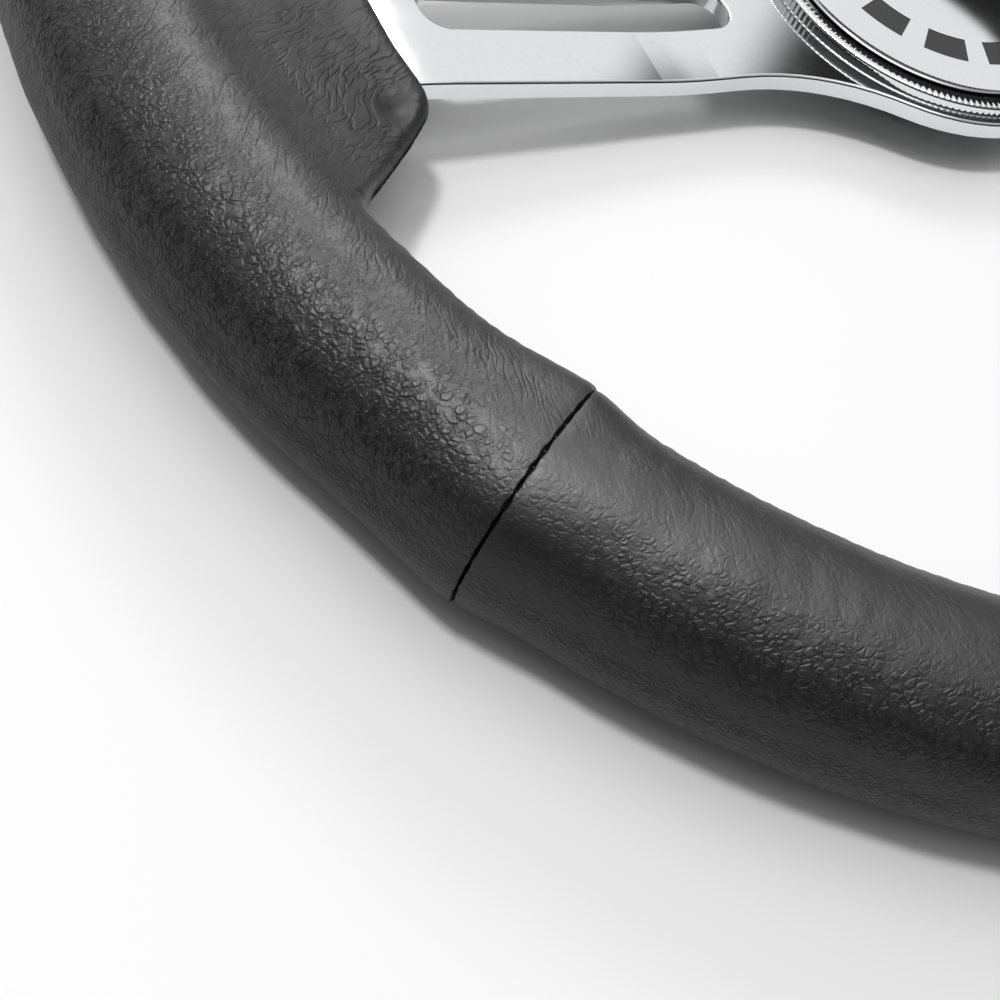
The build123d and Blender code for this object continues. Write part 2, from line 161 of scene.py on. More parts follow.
# Bezel round the horn button
BEZEL_WIDTH = 3.5 * MM
BEZEL_REBATE = 1.6 * MM
BEZEL_FOOT = 1.0 * MM
BEZEL_EDGE = 0.7 * MM
BEZEL_BEND_POINTS = 7
BEZEL_WALL_POINTS = 5
FLUTES = 180
FLUTE_DEPTH = 0.06 * MM
FLUTE_STEPS = 6

# Return spring of the horn button
SPRING_WIRE = 1.2 * MM
SPRING_TURNS = 3.5
SPRING_STEPS = 160
SPRING_SIDES = 12

# Where each kind of grain lies, by lean in degrees from the outer equator over the crest, or by distance
CREST_LEAN = 105
CREST_SPREAD = 42
CREST_PEBBLES = 0.24
ISLAND_LEAN = 26
ISLAND_SPREAD = 20
LACED_LEAN = 150
LACED_SPREAD = 25
LACED_PEBBLES = 0.45
STREAK_TOP = 20
STREAK_BOTTOM = -100
# Painted highlight: where the leather's gloss rises from the flank to the crest and falls again on the inner
# side
PAINTED_HIGHLIGHT_START = (34, 52)
PAINTED_HIGHLIGHT_END = (150, 178)
PAD_START = 3 * MM
PAD_FULL = 4 * MM
# Painted shade: the steep wall under each grip's edge, where the leather loses its gloss
WALL_SLOPE = 0.4
WALL_FADE = 3 * MM
CALM_START = 1 * MM
DRAWN_BASE = 0.25
DRAWN_PLACE = 7 * MM
DRAWN_WIDTH = 12 * MM
DENT_CALM = 4 * MM

# Share of each kind of grain that is lost beside a seam or on a grip's pad
PEBBLES_LOST_AT_SEAM = 0.55
PEBBLES_LOST_ON_PAD = 0.5
ISLANDS_LOST_AT_SEAM = 0.5
FOLDS_LOST_AT_SEAM = 0.3
STREAKS_LOST_AT_SEAM = 0.3

# Camera
CAMERA_PLACE = Vector((224.74, 174.26, 160.76)) * MM
CAMERA_TARGET = Vector((146.49, 98.38, 8.0)) * MM
CAMERA_ROLL = 26.99
CAMERA_LENS = 49.11
CAMERA_SENSOR = 36
CAMERA_NEAREST = 0.01


class PanelKind(NamedTuple):
    """How a panel swells beside a cross seam, in mm, and its shares of grain, with leans in degrees."""
    swell: float
    outer_swell: float
    outer_reach: float
    inner_swell: float
    inner_reach: float
    swell_fade: tuple
    pinch: float
    pinch_place: float
    pinch_width: float
    calm_reach: float
    pebble_share: float
    pebble_lean: float
    pebble_spread: float
    island_share: float
    fold_share: float


GRIP_PANEL = PanelKind(
    swell=0.15, outer_swell=1.1, outer_reach=9, inner_swell=1.6, inner_reach=11, swell_fade=(9.0, 22.0),
    pinch=0.5, pinch_place=22, pinch_width=9, calm_reach=14,
    pebble_share=1.0, pebble_lean=50, pebble_spread=33, island_share=1.0, fold_share=0.45,
)
PLAIN_PANEL = PanelKind(
    swell=0.1, outer_swell=0.8, outer_reach=6, inner_swell=1.35, inner_reach=7, swell_fade=(6.0, 18.0),
    pinch=0.25, pinch_place=12, pinch_width=6, calm_reach=24,
    pebble_share=0.9, pebble_lean=42, pebble_spread=25, island_share=0.3, fold_share=0.3,
)


# Shapes

def soft_max(a, b, softness):
    return softness * np.logaddexp(a / softness, b / softness)


def smooth_step(x, low, high):
    t = np.clip((x - low) / (high - low), 0, 1)
    return t * t * (3 - 2 * t)


def bell(x, centre, width):
    return np.exp(-(((x - centre) / width) ** 2))


def waves(u, v, wavelength, seed, stretch=(1.0, 1.0), count=14):
    """Smooth random waves over (u, v), about -1 to 1, with one usual wavelength."""
    rng = np.random.default_rng(seed)
    height = np.zeros(np.broadcast(u, v).shape)
    for _ in range(count):
        turn = rng.uniform(0, 2 * pi)
        pitch = 2 * pi / (wavelength * rng.uniform(*WAVE_SPREAD))
        distance = cos(turn) * u / stretch[0] + sin(turn) * v / stretch[1]
        height += np.cos(pitch * distance + rng.uniform(0, 2 * pi))
    return height / sqrt(count / 2)


def wing_curve(side):
    """The grip's tapering top (side 1) or underside (side -1), from its end to the rim's round: r and z."""
    blend = radians(GRIP_BLEND)
    start = np.array((GRIP_END_RADIUS, GRIP_MIDDLE + side * GRIP_END_HALF_THICKNESS))
    end = np.array((RIM_RADIUS - HALF_WIDTH * cos(blend), RIM_HEIGHT + side * HALF_DEPTH * sin(blend)))
    reach = np.linalg.norm(end - start)
    slope = np.array((HALF_WIDTH * sin(blend), side * HALF_DEPTH * cos(blend)))
    leave = np.array((reach, 0))
    arrive = slope / np.linalg.norm(slope) * reach
    t = np.linspace(0, 1, WING_POINTS)[:, None]
    points = (
        (2 * t**3 - 3 * t**2 + 1) * start
        + (t**3 - 2 * t**2 + t) * leave
        + (3 * t**2 - 2 * t**3) * end
        + (t**3 - t**2) * arrive
    )
    return points[:, 0], points[:, 1]


WING_TOP = wing_curve(1)
WING_UNDERSIDE = wing_curve(-1)


def from_spoke(angle):
    """Angle in degrees to the nearest spoke's middle."""
    return np.min([np.abs((angle - spoke + 180) % 360 - 180) for spoke in SPOKES], axis=0)


def grip_edge(angle):
    """How near the axis the leather reaches at an angle in degrees: the grip's end, its flare, or far out."""
    away = np.radians(np.minimum(from_spoke(angle), GRIP_REACH))
    flare = tan(radians(GRIP_FLARE))
    flare_start = sqrt(GRIP_END_RADIUS**2 - GRIP_END_HALF_WIDTH**2)
    line = (flare_start * flare - GRIP_END_HALF_WIDTH) / (flare * np.cos(away) - np.sin(away))
    return soft_max(line, GRIP_END_RADIUS, CROOK_SOFTNESS)


def half_profile(edge, side):
    """Half of the leather's outline from its inner edge to the outer equator: r and z."""
    start = min(edge, INNER_RADIUS)
    t = np.linspace(0, 1, PROFILE_POINTS)
    r = start + (RIM_OUTER - start) * (1 - np.cos(pi * t)) / 2
    off = np.clip(1 - ((r - RIM_RADIUS) / HALF_WIDTH) ** 2, 0, 1)
    absent = -1.0
    rise = np.where(r >= INNER_RADIUS, HALF_DEPTH * np.sqrt(off), absent)
    wing_r, wing_z = WING_TOP if side > 0 else WING_UNDERSIDE
    wing = side * (np.interp(r, wing_r, wing_z) - RIM_HEIGHT)
    inward = np.clip((r - edge) / GRIP_EDGE_RADIUS, 0, 1)
    wing -= GRIP_EDGE_RADIUS * (1 - np.sqrt(1 - (1 - inward) ** 2))
    rounding = 1e-9
    wing = np.where((r >= edge - rounding) & (r <= wing_r[-1]), wing, absent)
    return r, RIM_HEIGHT + side * np.maximum(rise, wing)


def evenly(r, z, count):
    """A profile with evenly spaced points, and their lengths before its end."""
    length = np.concatenate(([0], np.cumsum(np.hypot(np.diff(r), np.diff(z)))))
    even = np.linspace(0, length[-1], count)
    return np.interp(even, length, r), np.interp(even, length, z), even - length[-1]


def section(edge, count):
    """The leather's closed outline: inner edge, over the top, round the outer equator and back underneath."""
    crook = (GRIP_END_RADIUS + CROOK_START, GRIP_END_RADIUS + CROOK_END)
    undercut = np.interp(edge, crook, (GRIP_UNDERCUT, CROOK_UNDERCUT))
    r_top, z_top = half_profile(edge, 1)
    r_low, z_low = half_profile(edge + undercut, -1)
    middle_r = (r_top[0] + r_low[0]) / 2
    middle_z = (z_top[0] + z_low[0]) / 2
    r_top, z_top, v_top = evenly(np.append(middle_r, r_top), np.append(middle_z, z_top), count)
    r_low, z_low, v_low = evenly(np.append(middle_r, r_low), np.append(middle_z, z_low), count)
    r = np.concatenate((r_top, r_low[-2:0:-1]))
    z = np.concatenate((z_top, z_low[-2:0:-1]))
    return r, z, np.concatenate((-v_top, v_low[-2:0:-1]))


class Grid(NamedTuple):
    """The leather's outside: points, normals, lengths u along and v around the rim, radius and lean."""
    points: np.ndarray
    normals: np.ndarray
    u: np.ndarray
    v: np.ndarray
    r: np.ndarray
    lean: np.ndarray


def leather_grid(angles, half_count):
    """The plain outside of the leather, for angles in degrees and a count of points from edge to equator."""
    rows = [section(edge, half_count) for edge in grip_edge(angles)]
    r, z, v = (np.array(part) for part in zip(*rows))
    turn = np.radians(angles)[:, None]
    points = np.stack((r * np.cos(turn), r * np.sin(turn), z), axis=-1)
    along = np.gradient(points, axis=0)
    around = np.roll(points, -1, axis=1) - np.roll(points, 1, axis=1)
    normals = np.cross(around, along)
    normals /= np.linalg.norm(normals, axis=-1, keepdims=True)
    lean = np.arctan2((z - RIM_HEIGHT) / HALF_DEPTH, (r - RIM_RADIUS) / HALF_WIDTH)
    return Grid(points, normals, turn * RIM_RADIUS + 0 * v, v, r, lean)


def seam_relief(to_seam, v, lean, kind):
    """Height in metres that a panel's surface stands off its plain shape, at a distance from a cross seam."""
    d = to_seam / MM
    bite = 0.5 + 0.5 * np.cos(2 * pi * v / STITCH_PITCH)
    half_width = SLIT_HALF_WIDTH + SLIT_BITE * bite + SLIT_RAGGED * waves(v, 0 * v, SLIT_WAVE, SLIT_SEED)
    slit = -SLIT_DEPTH * np.exp(-((d / half_width) ** 3))
    roll = -ROLL_DEPTH * bell(d, 0, ROLL_WIDTH)
    outer = smooth_step(np.cos(lean), *SWELL_OUTSIDE)
    inner = smooth_step(-np.cos(lean), *SWELL_INSIDE)
    swell = kind.swell + kind.outer_swell * outer * bell(d, 0, kind.outer_reach)
    swell += kind.inner_swell * inner * bell(d, 0, kind.inner_reach)
    swell *= 1 - smooth_step(d, *kind.swell_fade)
    pinch = -kind.pinch * outer * bell(d, kind.pinch_place, kind.pinch_width)
    return (slit + roll + swell + pinch) * MM


def panel_relief(grid, to_seam, to_dent, open_side, kind):
    """Height in metres of a whole panel's surface off its plain shape; open_side is 1 between the grips."""
    relief = seam_relief(to_seam, grid.v, grid.lean, kind)
    away = smooth_step(to_seam, *UNEVEN_FADE)
    for depth, wavelength, seed in UNEVEN_LAYERS:
        relief += depth * away * waves(grid.u, grid.v, wavelength, seed)
    relief -= DENT_DEPTH * bell(to_dent, 0, DENT_WIDTH) * (grid.v > 0)
    from_groove = np.abs(grid.v) - np.abs(grid.v).max(axis=1, keepdims=True)
    relief -= GROOVE_DEPTH * open_side * bell(from_groove, 0, GROOVE_WIDTH)
    puckers = 0.5 + 0.5 * waves(grid.u, grid.v, PUCKER_LENGTH, PUCKER_SEED, PUCKER_STRETCH)
    beside_groove = bell(np.abs(np.degrees(grid.lean)), PUCKER_LEAN, PUCKER_SPREAD)
    relief -= PUCKER_DEPTH * open_side * puckers * beside_groove
    return relief


def dent_distance(angles, r):
    """Distance in metres from the hollow at the nearest grip's corner, for angles in degrees."""
    off_angle = np.radians(from_spoke(angles))[:, None] - radians(DENT_ANGLE)
    return np.hypot(off_angle * DENT_RADIUS, r - DENT_RADIUS)


def fold_lengths(angles, v, to_dent):
    """Length in metres across the folds, which slant over a grip and bend round the hollow at its corner."""
    from_middle = np.radians(from_spoke(angles))[:, None] * RIM_RADIUS
    straight = np.sqrt(from_middle**2 + FOLD_ROUNDING**2) * cos(FOLD_LEAN) + v * sin(FOLD_LEAN)
    at_dent = straight.flat[np.argmin(to_dent + (v < 0))]
    bend = bell(to_dent, 0, FOLD_TURN)
    return straight * (1 - bend) + (at_dent - to_dent) * bend


def panel_grain(grid, to_seam, to_dent, open_side, kind):
    """The share of each kind of grain over a panel, with masks for the painted shade on each grip's steep
    wall and a painted highlight over the crest, 0 to 1, by the name of its attribute.
    """
    tilt = np.degrees(grid.lean)
    crest = bell(tilt, CREST_LEAN, CREST_SPREAD)
    low = smooth_step(-tilt, -STREAK_TOP, 0) * (tilt > STREAK_BOTTOM)
    pad = smooth_step(-grid.r, -(INNER_RADIUS + PAD_START), -(INNER_RADIUS - PAD_FULL))
    near = 1 - smooth_step(to_seam, CALM_START, kind.calm_reach * MM)
    fine = kind.pebble_share * bell(tilt, kind.pebble_lean, kind.pebble_spread)
    fine = fine + LACED_PEBBLES * open_side * bell(np.abs(tilt), LACED_LEAN, LACED_SPREAD)
    pebbles = fine + CREST_PEBBLES * crest
    pebbles = pebbles * (1 - PEBBLES_LOST_AT_SEAM * near) * (1 - PEBBLES_LOST_ON_PAD * pad)
    islands = kind.island_share * bell(tilt, ISLAND_LEAN, ISLAND_SPREAD) * (1 - ISLANDS_LOST_AT_SEAM * near)
    drawn = DRAWN_BASE + (1 - DRAWN_BASE) * bell(to_dent, DRAWN_PLACE, DRAWN_WIDTH)
    folded = (kind.fold_share * crest + pad * drawn) * (1 - FOLDS_LOST_AT_SEAM * near)
    steep = smooth_step(-grid.normals[..., 2], -WALL_SLOPE, 0.0)
    shares = {
        # Painted shade on the steep wall under a grip's edge, then a painted highlight over the crest
        "painted_wall_shade": steep * smooth_step(INNER_RADIUS - grid.r, 0, WALL_FADE),
        "painted_crest_highlight": smooth_step(tilt, *PAINTED_HIGHLIGHT_START) * (1 - smooth_step(tilt, *PAINTED_HIGHLIGHT_END)),
        "pebbles": pebbles,
        "islands": islands,
        "wrinkles": folded * (1 - bell(to_dent, 0, DENT_CALM)),
        "streaks": low * (1 - STREAKS_LOST_AT_SEAM * near),
    }
    return {name: np.clip(share, 0, 1) for name, share in shares.items()}


def new_mesh(name, points, faces):
    mesh = bpy.data.meshes.new(name)
    mesh.from_pydata(points, [], faces)
    mesh.polygons.foreach_set("use_smooth", np.ones(len(mesh.polygons), dtype=bool))
    mesh.update()
    thing = bpy.data.objects.new(name, mesh)
    bpy.context.scene.collection.objects.link(thing)
    return thing


def set_values(thing, name, values):
    layer = thing.data.attributes.new(name, "FLOAT", "POINT")
    layer.data.foreach_set("value", np.ascontiguousarray(values, dtype=np.float32).ravel())


def leather_panel(name, start, end, columns, half_count, kind):
    """One panel of the cover, from one cross seam to the next, with its relief as geometry."""
    columns = max(FEWEST_POINTS, int(columns * DETAIL))
    half_count = max(FEWEST_POINTS, int(half_count * DETAIL))
    margin = np.degrees(SEAM_STEPS / RIM_RADIUS)
    inside = np.linspace(start + margin[-1], end - margin[-1], columns)
    angles = np.concatenate((start + margin[:-1], inside, end - margin[-2::-1]))
    grid = leather_grid(angles, half_count)
    turn = np.radians(angles)[:, None]
    to_seam = np.minimum(turn - radians(start), radians(end) - turn) * RIM_RADIUS + 0 * grid.v
    to_dent = dent_distance(angles, grid.r)
    open_side = smooth_step(grip_edge(angles), INNER_RADIUS, INNER_RADIUS + GROOVE_FADE)[:, None]
    relief = panel_relief(grid, to_seam, to_dent, open_side, kind)
    points = grid.points + grid.normals * relief[..., None]
    rows, ring = grid.v.shape
    index = np.arange(rows * ring).reshape(rows, ring)
    nxt = np.roll(index, -1, axis=1)
    quads = np.stack((index[:-1], nxt[:-1], nxt[1:], index[1:]), axis=-1).reshape(-1, 4)
    panel = new_mesh(name, points.reshape(-1, 3).tolist(), quads.tolist())
    set_values(panel, "along", grid.u / MM)
    set_values(panel, "around", grid.v / MM)
    set_values(panel, "folds", fold_lengths(angles, grid.v, to_dent) / MM)
    for kind_of_grain, share in panel_grain(grid, to_seam, to_dent, open_side, kind).items():
        set_values(panel, kind_of_grain, share)
    return panel


def tubes(name, paths, radius, sides=8):
    """Round threads along several paths, joined in one mesh, with closed ends."""
    points = []
    faces = []
    steep = 0.8
    for path in paths:
        path = np.asarray(path)
        ahead = np.gradient(path, axis=0)
        ahead /= np.linalg.norm(ahead, axis=1, keepdims=True)
        helper = np.where(np.abs(ahead[:, 2:3]) > steep, (1.0, 0, 0), (0, 0, 1.0))
        across = np.cross(ahead, helper)
        across /= np.linalg.norm(across, axis=1, keepdims=True)
        up = np.cross(across, ahead)
        base = len(points)
        for centre, a, b in zip(path, across, up):
            for k in range(sides):
                turn = 2 * pi * k / sides
                points.append(centre + radius * (cos(turn) * a + sin(turn) * b))
        for i in range(len(path) - 1):
            for k in range(sides):
                a = base + i * sides + k
                b = base + i * sides + (k + 1) % sides
                faces.append((a, b, b + sides, a + sides))
        faces.append(tuple(base + k for k in reversed(range(sides))))
        faces.append(tuple(base + (len(path) - 1) * sides + k for k in range(sides)))
    return new_mesh(name, points, faces)


def fluted_bezel(name):
    """The ring round the horn button, with fine flutes across its outer face and upper edge."""
    low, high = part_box("horn_bezel")
    outer = high[0]
    inner = outer - BEZEL_WIDTH
    shoulder = high[2] - BEZEL_EDGE
    foot = low[2] + BEZEL_FOOT
    bend = np.linspace(0, pi / 2, BEZEL_BEND_POINTS)
    wall = [(outer, z) for z in np.linspace(low[2], shoulder, BEZEL_WALL_POINTS)[:-1]]
    outer_edge = [(outer - BEZEL_EDGE * (1 - cos(t)), shoulder + BEZEL_EDGE * sin(t)) for t in bend]
    inner_edge = [(inner + BEZEL_EDGE * (1 - sin(t)), shoulder + BEZEL_EDGE * cos(t)) for t in bend]
    rebate = [(inner, foot), (inner + BEZEL_REBATE, foot), (inner + BEZEL_REBATE, low[2])]
    profile = np.array(wall + outer_edge + inner_edge + rebate)
    depth = np.zeros(len(profile))
    depth[: len(wall) + len(outer_edge)] = FLUTE_DEPTH
    lean_in = np.concatenate((np.zeros(len(wall)), bend, np.zeros(len(inner_edge) + len(rebate))))
    turn = np.linspace(0, 2 * pi, FLUTES * FLUTE_STEPS, endpoint=False)[:, None]
    cut = depth * (0.5 - 0.5 * np.cos(FLUTES * turn))
    r = profile[:, 0] - cut * np.cos(lean_in)
    z = profile[:, 1] - cut * np.sin(lean_in)
    points = np.stack((r * np.cos(turn), r * np.sin(turn), z), axis=-1)
    index = np.arange(r.size).reshape(r.shape)
    nxt = np.roll(index, -1, axis=0)
    corners = (index, nxt, np.roll(nxt, -1, axis=1), np.roll(index, -1, axis=1))
    quads = np.stack(corners, axis=-1).reshape(-1, 4)
    return new_mesh(name, points.reshape(-1, 3).tolist(), quads.tolist())


def coil_spring(name):
    """The horn button's return spring, and the heights of its lower and upper end."""
    low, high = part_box("horn_spring")
    t = np.linspace(0, 1, SPRING_STEPS)
    turn = 2 * pi * SPRING_TURNS * t
    coil_radius = high[0] - SPRING_WIRE / 2
    height = low[2] + SPRING_WIRE / 2 + (high[2] - low[2] - SPRING_WIRE) * t
    path = np.stack((coil_radius * np.cos(turn), coil_radius * np.sin(turn), height), axis=-1)
    return tubes(name, [path], SPRING_WIRE / 2, SPRING_SIDES), low[2], high[2]


def seam_stitches(name, angle):
    """Short threads that bridge one cross seam, one at every bite."""
    spots = angle + np.degrees(STITCH_STEPS * STITCH_HALF_LENGTH / RIM_RADIUS)
    angles = np.concatenate(([spots[0] - STITCH_MARGIN], spots, [spots[-1] + STITCH_MARGIN]))
    grid = leather_grid(angles, STITCH_HALF_COUNT)
    lift = -STITCH_DEPTH + STITCH_BOW * (1 - STITCH_STEPS**2) - STITCH_DIVE * np.abs(STITCH_STEPS) ** 3
    surface = grid.points[1:-1] + grid.normals[1:-1] * lift[:, None, None]
    around = grid.v[len(angles) // 2]
    first = int(np.ceil(around.min() / STITCH_PITCH))
    last = int(np.floor(around.max() / STITCH_PITCH))
    paths = []
    for bite in range(first, last + 1):
        column = int(np.argmin(np.abs(around - bite * STITCH_PITCH)))
        paths.append(surface[:, column])
    return tubes(name, paths, STITCH_RADIUS)


def lacing(name, start, end):
    """Crossed threads that close the leather along the rim's inner side, between two grips."""
    steps = int((radians(end - start) * INNER_RADIUS) / LACE_PITCH)
    t = np.linspace(-1, 1, LACE_POINTS)
    height = RIM_HEIGHT + LACE_HALF_HEIGHT * t
    off = np.clip(1 - ((height - RIM_HEIGHT) / HALF_DEPTH) ** 2, 0, 1)
    bow = LACE_BOW * (1 - t**2) - LACE_DIVE * np.abs(t) ** 6
    paths = []
    for step in range(steps):
        for slant, lift in ((-LACE_SLANT, 0), (LACE_SLANT, LACE_CROSSING)):
            turn = np.radians(start + (end - start) * (step + 0.5 + slant * t) / steps)
            r = RIM_RADIUS - HALF_WIDTH * np.sqrt(off) - (bow + lift)
            paths.append(np.stack((r * np.cos(turn), r * np.sin(turn), height), axis=-1))
    return tubes(name, paths, LACE_RADIUS)


# Materials

def node(tree, kind, settings=None, sockets=None):
    """A shader node with its settings, and its sockets set to values or joined to other nodes' outputs."""
    made = tree.nodes.new(kind)
    for key, value in (settings or {}).items():
        setattr(made, key, value)
    for key, value in (sockets or {}).items():
        if isinstance(value, bpy.types.NodeSocket):
            tree.links.new(value, made.inputs[key])
        else:
            made.inputs[key].default_value = value
    return made


def maths(tree, operation, a, b=0.0):
    return node(tree, "ShaderNodeMath", {"operation": operation}, {0: a, 1: b}).outputs[0]


def product(tree, first, *others):
    for other in others:
        first = maths(tree, "MULTIPLY", first, other)
    return first


def total(tree, first, *others):
    for other in others:
        first = maths(tree, "ADD", first, other)
    return first


def rest_of(tree, value):
    """What a value leaves of 1."""
    return maths(tree, "SUBTRACT", 1.0, value)


def vector_maths(tree, operation, sockets):
    return node(tree, "ShaderNodeVectorMath", {"operation": operation}, sockets)


def ramp(tree, value, low, high, out_low=0.0, out_high=1.0):
    """A value led smoothly from one range to another, and held at its ends."""
    sockets = {"Value": value, "From Min": low, "From Max": high, "To Min": out_low, "To Max": out_high}
    return node(tree, "ShaderNodeMapRange", {"interpolation_type": "SMOOTHSTEP"}, sockets).outputs["Result"]


def noise_node(tree, where, scale, detail):
    return node(tree, "ShaderNodeTexNoise", None, {"Vector": where, "Scale": scale, "Detail": detail})


def noise(tree, where, scale, detail):
    return noise_node(tree, where, scale, detail).outputs["Fac"]


def plane(tree, x, y):
    return node(tree, "ShaderNodeCombineXYZ", None, {"X": x, "Y": y}).outputs[0]


def new_material(name):
    material = bpy.data.materials.new(name)
    material.use_nodes = True
    tree = material.node_tree
    return material, tree, tree.nodes["Principled BSDF"]


def attribute(tree, name):
    return node(tree, "ShaderNodeAttribute", {"attribute_name": name}).outputs["Fac"]


def object_place(tree):
    return node(tree, "ShaderNodeTexCoord").outputs["Object"]


def grey(value):
    return (value, value, value, 1.0)


def blend_colours(tree, factor, first, second):
    mix = node(tree, "ShaderNodeMix", {"data_type": "RGBA"}, {"Factor": factor})
    for socket, value in ((mix.inputs[6], first), (mix.inputs[7], second)):
        if isinstance(value, bpy.types.NodeSocket):
            tree.links.new(value, socket)
        else:
            socket.default_value = value
    return mix.outputs[2]


def add_bump(tree, shader, height, distance, strength=1.0):
    """Shade a surface by a height, of which 1 stands for a distance in metres."""
    sockets = {"Strength": strength, "Distance": distance, "Height": height}
    tree.links.new(node(tree, "ShaderNodeBump", None, sockets).outputs[0], shader.inputs["Normal"])


# Leather: the height of each kind of grain in mm and how much painted shade its lines get by losing gloss,
# then its folds' lines, its colour and dust, and its gloss with a painted highlight over the crest, and its
# roughness
PEBBLE_HEIGHT = 0.105
PEBBLE_PAINTED_SHADE = 0.48
ISLAND_HEIGHT = 0.12
ISLAND_PAINTED_SHADE = 0.38
STREAK_HEIGHT = 0.16
STREAK_PAINTED_SHADE = 0.5
FOLD_DEPTH = 0.11
FOLD_PAINTED_SHADE = 0.16
PORE_HEIGHT = 0.016
SWELL_HEIGHT = 0.10
FOLD_SWAY = 5.0
FOLD_PITCH = 0.62
FOLD_RUN = 0.17
FOLD_LINE = 0.09
HIDE_DARK = 0.005
HIDE_PALE = 0.009
DUST = 0.6
DUST_SCALE = 0.045
DUST_SPECK = (0.006, 0.011)
FLANK_GLOSS = 0.40
CREST_PAINTED_HIGHLIGHT_GLOSS = 0.82
HIDE_ROUGHNESS = (0.44, 0.50)
SHADED_WALL_ROUGHNESS = 0.5

# Thread, metal and plastic
THREAD_DARK = 0.006
THREAD_PALE = 0.022
THREAD_TWIST = 0.2 * MM
THREAD_ROUGHNESS = 0.6
METAL_SHADE = 0.93
PLASTIC_DARK = 0.8
PLASTIC_PALE = 1.2
PLASTIC_WANDER = 0.05


def grain_cells(tree, flat):
    """The leather's small pebbles, large islands and low streaks: 0 along their edges and 1 inside them."""

    def stirred(source, scale, reach):
        """A place moved about by smooth noise."""
        offset = noise_node(tree, flat, scale, detail=2).outputs["Color"]
        offset = vector_maths(tree, "SUBTRACT", {0: offset, 1: (0.5, 0.5, 0.5)}).outputs[0]
        offset = vector_maths(tree, "SCALE", {0: offset, "Scale": reach}).outputs[0]
        return vector_maths(tree, "ADD", {0: source, 1: offset}).outputs[0]

    def cells(long_way, turn, scale, edge):
        """Cells drawn out in a direction turned from straight across the rim, in degrees."""
        sockets = {"Vector": ragged, "Scale": (1.0, long_way, 1.0), "Rotation": (0, 0, radians(turn))}
        where = node(tree, "ShaderNodeMapping", {"vector_type": "TEXTURE"}, sockets).outputs[0]
        settings = {"feature": "DISTANCE_TO_EDGE"}
        drawn = node(tree, "ShaderNodeTexVoronoi", settings, {"Vector": where, "Scale": scale})
        return ramp(tree, drawn.outputs["Distance"], 0.0, edge)

    ragged = stirred(stirred(flat, scale=0.4, reach=1.6), scale=1.2, reach=0.6)
    small = cells(long_way=1.3, turn=-30, scale=0.96, edge=0.28)
    large = cells(long_way=1.5, turn=25, scale=0.85, edge=0.20)
    low = cells(long_way=2.4, turn=80, scale=1.45, edge=0.36)
    return small, large, low


def fold_lines(tree, flat, around):
    """The thin lines of the folds, stronger in some patches than in others."""
    sway = product(tree, noise(tree, flat, scale=0.07, detail=2), FOLD_SWAY)
    across = product(tree, total(tree, attribute(tree, "folds"), sway), FOLD_PITCH)
    where = plane(tree, across, product(tree, around, FOLD_RUN))
    crinkle = maths(tree, "SUBTRACT", noise(tree, where, scale=1.0, detail=1.5), 0.5)
    line = ramp(tree, maths(tree, "ABSOLUTE", crinkle), 0.0, FOLD_LINE, out_low=1.0, out_high=0.0)
    patchy = ramp(tree, noise(tree, flat, scale=0.16, detail=2), 0.40, 0.60, out_low=0.4)
    return product(tree, line, patchy)


